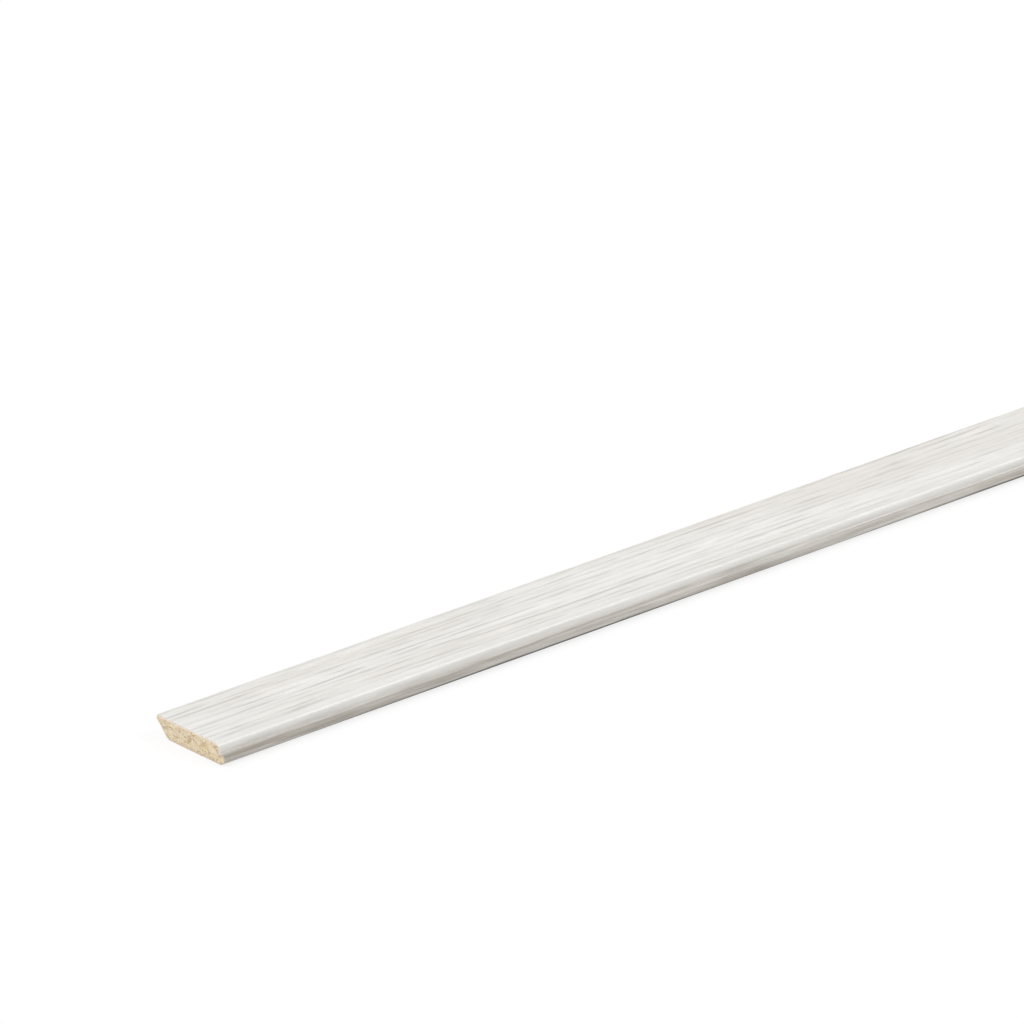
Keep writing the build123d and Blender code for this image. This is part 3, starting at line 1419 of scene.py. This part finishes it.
@dataclass
class DecorFoil:
    """The printed foil round the face, the nose, the lip and the undercut, turned in on the back."""

    moulding: Moulding
    arc_steps: int = 10
    sheet: BakeSheet = field(init=False)

    def build(self) -> bpy.types.Object:
        """Models the foil.

        Returns:
            The finished object.
        """
        m = self.moulding
        touch = Workpiece.TOUCH
        work = milled_section(m, "skirting_foil", self.arc_steps)
        work.pick_all()
        work.cut((0.0, m.foil_end, m.back), (0.0, 1.0, 0.0))
        work.pick_all()
        bpy.ops.mesh.delete(type="ONLY_FACE")
        work.pick_edges(lambda a, b: max(abs(a.y - m.foil_end), abs(b.y - m.foil_end)) < touch)
        bpy.ops.mesh.delete(type="EDGE")
        work.pick_edges(
            lambda a, b: max(abs(a.z - m.back), abs(b.z - m.back)) < touch
            and min(a.y, b.y) > m.foil_end - touch
        )
        bpy.ops.mesh.delete(type="EDGE")
        self.sheet = BakeSheet(m, work.mark_wrap((m.foil_end, m.back)))
        work.pick_edges(lambda a, b: True)
        work.pull(m.length)
        work.face_outwards()
        if work.pick_faces(lambda middle, normal: normal.z < -BACK_FACING and middle.z > m.land_foot):
            work.pick_all()
            bpy.ops.mesh.flip_normals()
        work.modify(
            "SOLIDIFY",
            thickness=m.foil,
            offset=1.0,
            use_even_offset=True,
            use_quality_normals=True,
            use_rim=True,
        )
        work.pick_faces(lambda middle, _: middle.y > m.back_edge - m.foil)
        work.cut((0.0, 0.0, m.back), (0.0, 0.0, -1.0), clear=True, fill=True)
        work.face_outwards()
        work.cut_across(self.sheet.stations())
        piece = work.finish()
        self.sheet.lay(piece, self._outside)
        return piece

    def _outside(self, middle: Vector, normal: Vector) -> bool:
        """Whether a face is on the printed side.

        Args:
            middle: The face's middle.
            normal: The face's normal.

        Returns:
            True on the printed side, False on a cut edge or the glued side.
        """
        m = self.moulding
        if abs(normal.x) > END_FACING:
            return False
        axis = Vector((middle.x, 0.0, (m.back + m.face) / 2))
        round_nose = m.nose_wall - 2 * m.foil < middle.y < m.nose_wall + m.nose_radius
        if round_nose and middle.z > m.ledge_front - m.foil:
            axis = Vector((middle.x, m.nose_wall + m.nose_radius, m.ledge_back - m.quirk_radius))
        return normal.dot(middle - axis) > 0

    def dress(self, piece: bpy.types.Object, printed: OakDecorFinish, cut: FoilCutFinish) -> None:
        """Gives the foil its printed side and its cut edges.

        Args:
            piece: The foil.
            printed: Finish of the printed side.
            cut: Finish of the cut edges and of the glued side.
        """
        piece.data.materials.append(printed.build())
        piece.data.materials.append(cut.build())
        for face in piece.data.polygons:
            face.material_index = 0 if self._outside(face.center, face.normal) else 1


@dataclass
class BackLayer:
    """A thin layer along the middle of the back, with slightly uneven edges."""

    moulding: Moulding
    name: str
    bottom: float
    thickness: float
    waves: float = 0.12 * MM
    wave_length: float = 14.0 * MM
    pitch: float = 10.0 * MM
    rows: int = 6
    sheet: BakeSheet = field(init=False)

    def build(self) -> bpy.types.Object:
        """Models the layer.

        Returns:
            The finished object.
        """
        m = self.moulding
        front, rear = m.tape_edges
        top = self.bottom + self.thickness
        work = Workpiece(self.name, (front, self.bottom), (rear, top), m.near)
        self.sheet = BakeSheet(m, work.mark_wrap((front, top)), rows=self.rows)
        work.pick_all()
        work.pull(m.length)
        work.face_outwards()
        count = round(m.length / self.pitch)
        stations = {round(m.near + m.length * i / count, 6) for i in range(1, count)}
        work.cut_across(sorted(stations | {round(s, 6) for s in self.sheet.stations()}))
        bpy.ops.object.mode_set(mode="OBJECT")
        for side in (-1, 1):
            self._waver(work, side)
        piece = work.finish()
        self.sheet.lay(piece, lambda _, normal: normal.z < 0.5)
        return piece

    def _waver(self, work: Workpiece, side: int) -> None:
        """Draws one long edge of the layer in by a little, more in some places than in others.

        Args:
            work: The layer.
            side: -1 for the edge at the lip, 1 for the edge at the undercut.
        """
        uneven = bpy.data.textures.new("uneven_edge", "CLOUDS")
        uneven.noise_scale = self.wave_length
        middle = sum(self.moulding.tape_edges) / 2
        corners = [v.index for v in work.obj.data.vertices if (v.co.y - middle) * side > 0]
        work.displace(corners, uneven, "Y", -side * self.waves)

    def dress(self, piece: bpy.types.Object, finish: TapeFinish | LinerFinish) -> None:
        """Gives the layer its finish."""
        piece.data.materials.append(finish.build())


@dataclass(frozen=True)
class PhotoCamera:
    """The photograph's view: a long lens, from the left of the near end and above it."""

    location: tuple = (-2.58179, -1.67989, 0.99634)
    elevation: float = 23.329
    heading: float = -41.352
    lens: float = 372.0
    sensor: float = 36.0
    nearest: float = 0.05
    farthest: float = 200.0

    def build(self) -> None:
        """Adds the camera and makes it the scene's."""
        deselect_everything()
        turn = (math.radians(90.0 - self.elevation), 0.0, math.radians(self.heading))
        bpy.ops.object.camera_add(location=self.location, rotation=turn)
        camera = bpy.context.object
        camera.name = "photo_camera"
        camera.data.lens = self.lens
        camera.data.sensor_width = self.sensor
        camera.data.clip_start = self.nearest
        camera.data.clip_end = self.farthest
        bpy.context.scene.camera = camera


@dataclass(frozen=True)
class Softbox:
    """A distant soft lamp: where it stands, how bright it is and how wide it looks, in degrees."""

    name: str
    towards: tuple
    strength: float
    spread: float
    distance: float = 3.0

    def build(self) -> None:
        """Adds the lamp."""
        deselect_everything()
        way = Vector(self.towards).normalized()
        turn = way.to_track_quat("Z", "Y").to_euler()
        bpy.ops.object.light_add(type="SUN", location=way * self.distance, rotation=turn)
        lamp = bpy.context.object
        lamp.name = self.name
        lamp.data.energy = self.strength * math.pi
        lamp.data.angle = math.radians(self.spread)


@dataclass(frozen=True)
class Studio:
    """A pale floor, soft lamps and an even sky. To the camera, the sky and the floor are white."""

    floor_size: float = 90.0
    floor_level: float = -0.01 * MM
    floor_colour: Colour = (0.94, 0.94, 0.935)
    floor_glow: float = 0.80
    sky: float = 0.56
    lamps: tuple[Softbox, ...] = (
        Softbox("softbox_over", (-0.10, 0.35, 0.93), 0.213, 60.0),
        Softbox("softbox_left", (-0.90, 0.15, 0.40), 0.305, 45.0),
        Softbox("softbox_right", (0.607, -0.372, 0.703), 0.18, 17.0),
        Softbox("softbox_front", (0.20, -0.95, 0.14), 0.11, 60.0),
    )

    def build(self) -> None:
        """Builds the studio."""
        self._floor()
        self._sky()
        for lamp in self.lamps:
            lamp.build()
        bpy.context.scene.view_settings.view_transform = "Standard"

    def _floor(self) -> None:
        """Lays the floor, which glows a little to the camera so that it reads as white paper."""
        deselect_everything()
        bpy.ops.mesh.primitive_plane_add(size=self.floor_size, location=(0.0, 0.0, self.floor_level))
        floor = bpy.context.object
        floor.name = "studio_floor"
        material, g = new_material("studio_paper")
        seen = g.add("ShaderNodeLightPath").outputs["Is Camera Ray"]
        paper = g.add("ShaderNodeBsdfDiffuse", {"Color": g.mix(seen, self.floor_colour, WHITE)}).outputs[0]
        glow = g.add("ShaderNodeEmission", {"Color": (*WHITE, 1.0)}).outputs[0]
        both = g.add("ShaderNodeMixShader", {0: g.times(seen, self.floor_glow), 1: paper, 2: glow})
        g.add("ShaderNodeOutputMaterial", {0: both.outputs[0]})
        floor.data.materials.append(material)

    def _sky(self) -> None:
        """Sets an even grey sky that the camera and reflections see as white."""
        world = bpy.data.worlds.new("studio_sky")
        world.use_nodes = True
        g = Graph(world.node_tree)
        path = g.add("ShaderNodeLightPath")
        seen = g.maths("MAXIMUM", path.outputs["Is Camera Ray"], path.outputs["Is Glossy Ray"])
        seen = g.maths("MAXIMUM", seen, path.outputs["Is Transmission Ray"])
        sky = g.add("ShaderNodeBackground", {"Color": g.mix(seen, (self.sky,) * 3, WHITE)})
        g.add("ShaderNodeOutputWorld", {0: sky.outputs[0]})
        bpy.context.scene.world = world


def main() -> None:
    """Loads the frame, builds each piece and the studio, and logs each finished piece's size."""
    logging.basicConfig(level=logging.INFO, format="%(name)s: %(message)s")
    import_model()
    moulding = Moulding()
    effects = Effects()

    core = ChipboardCore(moulding)
    foil = DecorFoil(moulding)
    tape = BackLayer(moulding, "skirting_tape", moulding.liner, moulding.tape)
    liner = BackLayer(moulding, "skirting_liner", 0.0, moulding.liner, LINER_WAVES, LINER_WAVE_LENGTH)
    foil_finishes = (OakDecorFinish(effects, moulding), FoilCutFinish(effects))
    for maker, finishes, node, slot in (
        (core, (ChipboardFinish(effects, moulding),), "chipboard_core", "chipboard"),
        (foil, foil_finishes, "decor_foil", "decor_foil"),
        (tape, (TapeFinish(effects),), "adhesive_tape", "adhesive_tape"),
        (liner, (LinerFinish(effects),), "release_liner", "release_liner"),
    ):
        piece = maker.build()
        maker.dress(piece, *finishes)
        settle(piece, node)

    Studio().build()
    PhotoCamera().build()
    deselect_everything()


if __name__ == "__main__":
    main()
